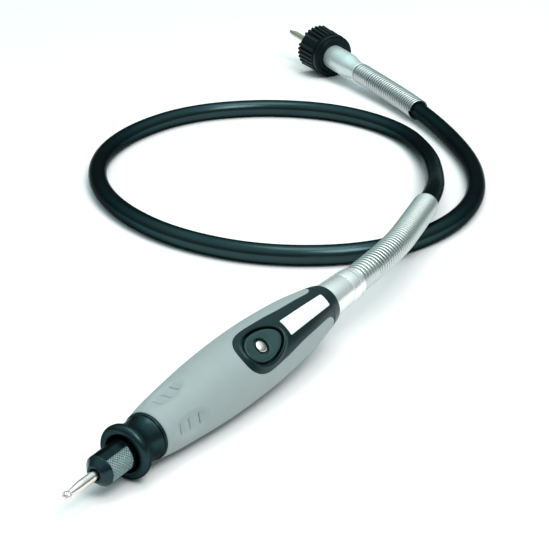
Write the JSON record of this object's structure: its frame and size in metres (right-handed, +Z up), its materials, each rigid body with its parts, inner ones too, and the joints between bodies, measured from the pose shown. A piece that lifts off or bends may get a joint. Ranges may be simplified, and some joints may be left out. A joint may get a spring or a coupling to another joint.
{
  "type": "flexible shaft attachment with handpiece",
  "caption": "Flexible shaft attachment for a rotary tool: slim pencil-grip handpiece with collet and spindle lock, rubber-covered shaft with wire guards, coupling nut and drive tip.",
  "frame": {"origin": "middle of the handpiece on the surface that it lies on (centre of the bottom of the handpiece's box, flexible shaft left out)", "axes": "+Z up, +Y along the handpiece from the bit to the shaft, +X to the side that the panel leans towards"},
  "size_m": [0.2265, 0.4578, 0.0253],
  "materials": {
    "grip_grey": "soft touch",
    "black_shell": "fine satin",
    "black_gloss": "moulded, glossy",
    "white_plate": "smooth",
    "bearing_steel": "ground",
    "spindle_steel": "ground",
    "bright_steel": "polished",
    "black_steel": "black oxide",
    "bright_nickel": "nickel plated",
    "guard_wire": "drawn wire, close wound",
    "sheath_rubber": "smooth, semi gloss",
    "liner_wire": "flat wire, close wound",
    "core_wire": "wound wire",
    "pale_zinc": "satin plated",
    "bronze": "sintered",
    "tip_steel": "turned",
    "nut_plastic": "moulded, ribbed"
  },
  "bodies": {
    "handpiece": {"grip_sleeve": "grip_grey", "inner_housing": "black_shell", "nose_cap": "black_gloss", "label_plate": "white_plate", "front_bearing_outer_race": "bearing_steel", "rear_bearing_outer_race": "bearing_steel", "preload_washer": "bearing_steel", "lock_spring": "bearing_steel", "rear_ferrule": "bright_nickel", "handle_spring_guard": "guard_wire", "outer_sheath": "sheath_rubber", "casing_liner": "liner_wire", "flexible_core": "core_wire", "drive_spring_guard": "guard_wire", "drive_ferrule": "pale_zinc", "ferrule_bushing": "bronze", "nut_retaining_ring": "bearing_steel"},
    "spindle": {"spindle": "spindle_steel", "front_bearing_inner_race": "bearing_steel", "rear_bearing_inner_race": "bearing_steel", "core_front_end": "spindle_steel", "front_snap_ring": "bearing_steel"},
    "front_balls": {"front_bearing_balls": "bearing_steel", "front_bearing_cage": "bronze"},
    "rear_balls": {"rear_bearing_balls": "bearing_steel", "rear_bearing_cage": "bronze"},
    "collet_set": {"collet": "spindle_steel", "cutter_bit": "bright_steel"},
    "collet_nut": {"collet_nut": "black_steel"},
    "lock_button": {"lock_button": "black_gloss", "lock_pin": "bright_steel"},
    "drive_tip": {"drive_tip": "tip_steel"},
    "coupling_nut": {"coupling_nut": "nut_plastic"}
  },
  "joints": [
    {"name": "spindle_spin", "type": "hinge", "parent": "handpiece", "child": "spindle", "pos_m": [0, -0.00436, 0.01189], "axis": [0, 0.9983, 0.0576], "continuous": true},
    {"name": "front_ball_orbit", "type": "hinge", "parent": "handpiece", "child": "front_balls", "pos_m": [0, -0.03232, 0.01028], "axis": [0, 0.9983, 0.0576], "continuous": true},
    {"name": "rear_ball_orbit", "type": "hinge", "parent": "handpiece", "child": "rear_balls", "pos_m": [0, 0.03557, 0.01419], "axis": [0, 0.9983, 0.0576], "continuous": true},
    {"name": "collet_slide", "type": "slide", "parent": "spindle", "child": "collet_set", "axis": [0, -0.9983, -0.0576], "range_m": [0, 0.00127]},
    {"name": "collet_nut_turn", "type": "hinge", "parent": "collet_set", "child": "collet_nut", "pos_m": [0, -0.05827, 0.00878], "axis": [0, -0.9983, -0.0576], "range_deg": [0, 720]},
    {"name": "lock_button_press", "type": "slide", "parent": "handpiece", "child": "lock_button", "axis": [-0.6561, 0.0434, -0.7535], "range_m": [0, 0.0017], "stiffness_N_per_m": 400, "springref_m": -0.001, "deforming": ["lock_spring"]},
    {"name": "drive_tip_spin", "type": "hinge", "parent": "handpiece", "child": "drive_tip", "pos_m": [-0.19064, 0.36325, 0.01324], "axis": [-0.887, 0.4535, 0.0872], "continuous": true},
    {"name": "coupling_nut_spin", "type": "hinge", "parent": "handpiece", "child": "coupling_nut", "pos_m": [-0.17467, 0.35509, 0.01167], "axis": [-0.887, 0.4535, 0.0872], "continuous": true}
  ],
  "couplings": [
    {"joint": "front_ball_orbit", "follows": "spindle_spin", "ratio": 0.4091},
    {"joint": "rear_ball_orbit", "follows": "spindle_spin", "ratio": 0.4091},
    {"joint": "drive_tip_spin", "follows": "spindle_spin", "ratio": 1},
    {"joint": "collet_nut_turn", "follows": "collet_slide", "rad_per_m": 9894.7}
  ]
}
